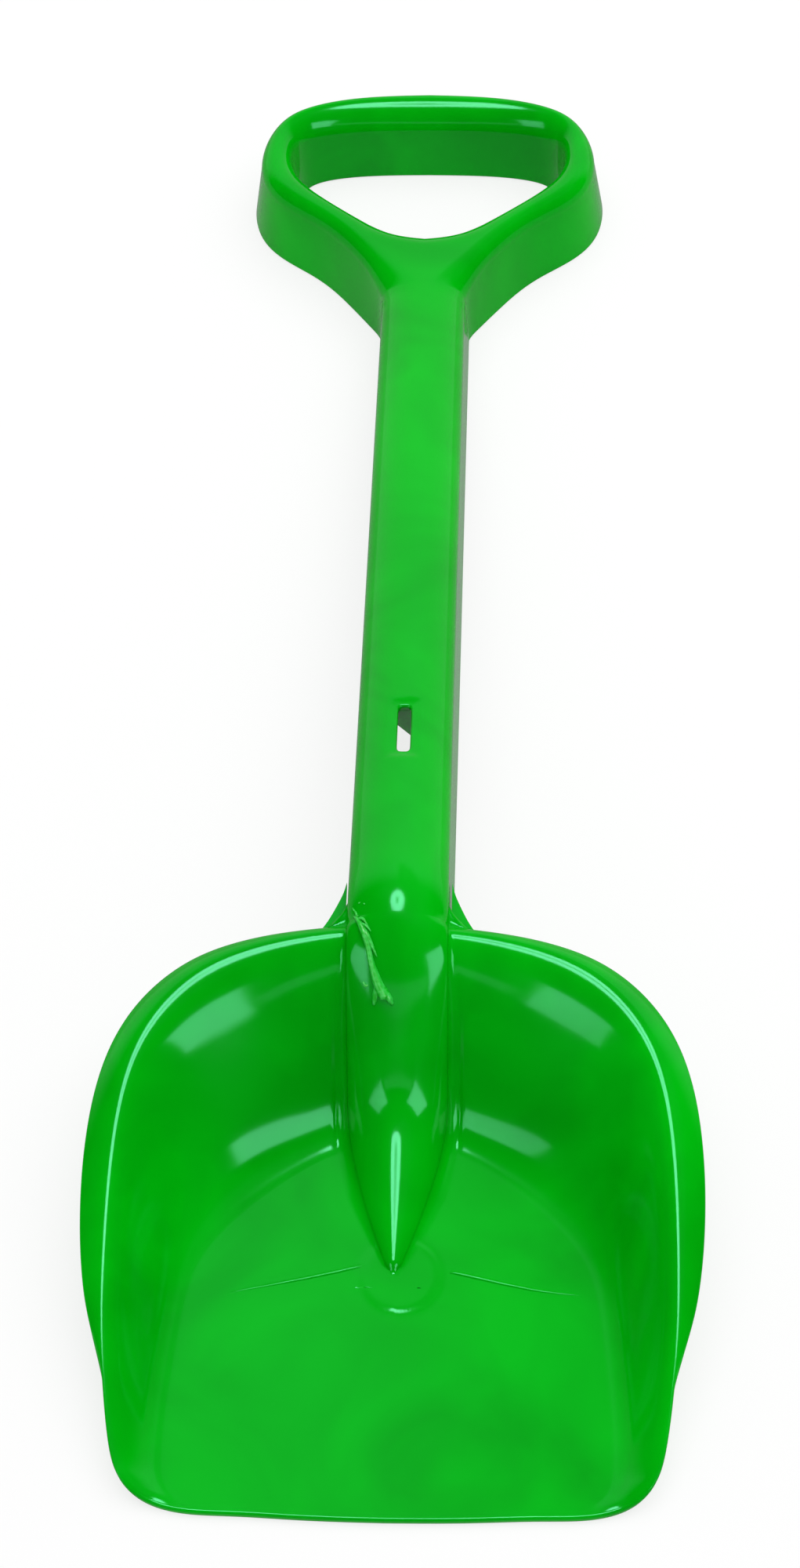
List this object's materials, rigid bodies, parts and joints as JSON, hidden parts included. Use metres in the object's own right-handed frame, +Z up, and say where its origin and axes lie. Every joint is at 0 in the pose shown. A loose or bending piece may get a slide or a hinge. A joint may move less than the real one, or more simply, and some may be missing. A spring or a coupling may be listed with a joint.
{
  "type": "sand shovel",
  "caption": "Moulded plastic sand shovel with a deep rimmed scoop, a hollow arched shaft with a hanging slot, and a closed loop grip.",
  "frame": {"origin": "centre of the footprint, on the plane that the shovel lies on with its scoop facing up", "axes": "+Y along the shaft from the digging edge to the grip, +Z up out of the scoop, +X to the right seen from above with the grip away"},
  "size_m": [0.173, 0.505, 0.0599],
  "materials": {
    "green_plastic": "gloss, moulded in one bright green"
  },
  "bodies": {
    "root": {"floor_pan": "green_plastic", "spine": "green_plastic", "left_wall": "green_plastic", "right_wall": "green_plastic", "left_rim": "green_plastic", "right_rim": "green_plastic", "shaft": "green_plastic", "shaft_ribs": "green_plastic", "left_gusset": "green_plastic", "right_gusset": "green_plastic", "grip_yoke": "green_plastic", "grip_bar": "green_plastic"}
  },
  "joints": []
}
